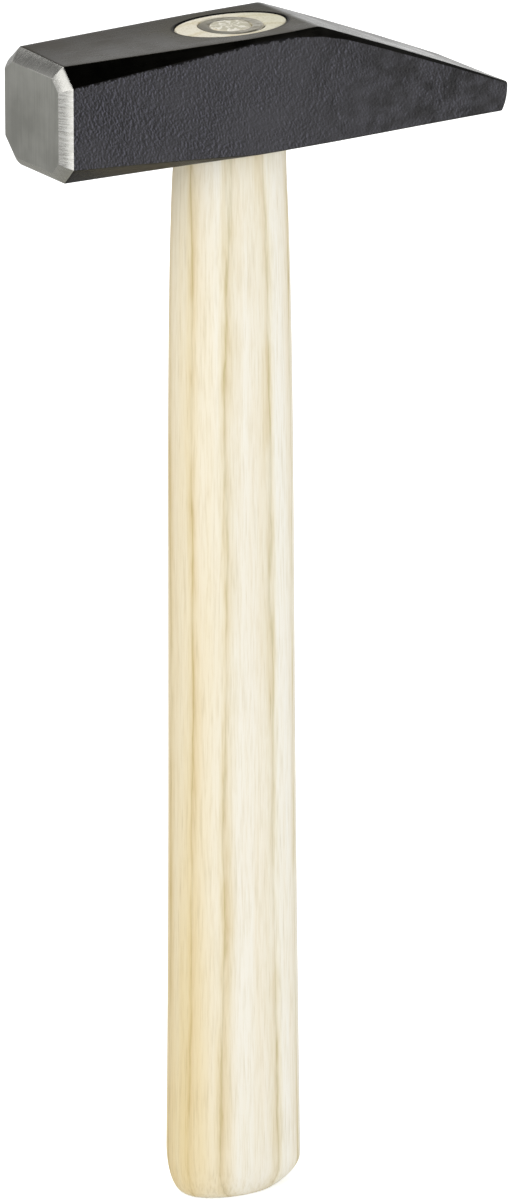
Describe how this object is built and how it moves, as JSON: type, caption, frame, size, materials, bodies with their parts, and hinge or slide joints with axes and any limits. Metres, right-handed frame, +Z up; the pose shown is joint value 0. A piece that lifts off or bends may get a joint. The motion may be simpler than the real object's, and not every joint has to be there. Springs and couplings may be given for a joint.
{
  "type": "scythe peening hammer",
  "caption": "Small forged hammer with a flat bevelled striking face, a long wedge-shaped cross peen and an oval ash handle held by a steel ring wedge.",
  "frame": {"origin": "middle of the flat on the handle's butt end, on the handle's axis", "axes": "+Z up the handle to the head, -X out of the striking face, +X along the peen, Y across the cheeks"},
  "size_m": [0.1205, 0.0294, 0.285],
  "materials": {
    "lacquered_steel": "black lacquer over forged steel, ground bare at the striking face",
    "ash_wood": "fine sanded, uncoated",
    "wedge_steel": "turned, dull"
  },
  "bodies": {
    "root": {"head": "lacquered_steel", "handle": "ash_wood", "ring_wedge": "wedge_steel"}
  },
  "joints": []
}
